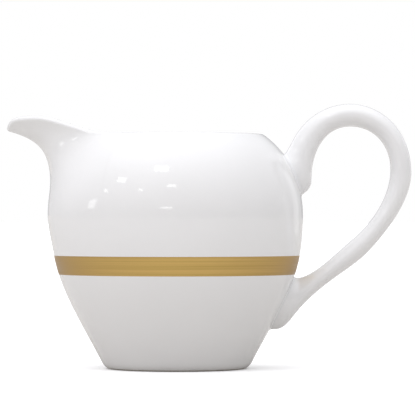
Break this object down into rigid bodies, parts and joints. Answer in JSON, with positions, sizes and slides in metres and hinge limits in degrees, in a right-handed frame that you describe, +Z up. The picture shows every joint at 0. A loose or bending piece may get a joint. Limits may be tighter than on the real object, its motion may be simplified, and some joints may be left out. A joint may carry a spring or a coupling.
{
  "type": "porcelain cream jug",
  "caption": "Round-bellied porcelain cream jug with a pouring beak, a loop handle, a gold band round the waist and a bare foot ring; for serving cream or milk.",
  "frame": {"origin": "centre of the foot ring, in the plane of the table", "axes": "+Z up; +X towards the handle, -X towards the beak; the jug is the same on both sides of the XZ plane"},
  "size_m": [0.1282, 0.08, 0.084],
  "materials": {
    "glazed_porcelain": "clear gloss glaze",
    "glazed_slip": "clear gloss glaze over slip",
    "fired_gold": "satin",
    "bare_biscuit": "matt, ground"
  },
  "bodies": {
    "root": {"body": "glazed_porcelain", "handle": "glazed_porcelain", "upper_slip_joint": "glazed_slip", "lower_slip_joint": "glazed_slip", "gold_band": "fired_gold", "foot_ring": "bare_biscuit"}
  },
  "joints": []
}
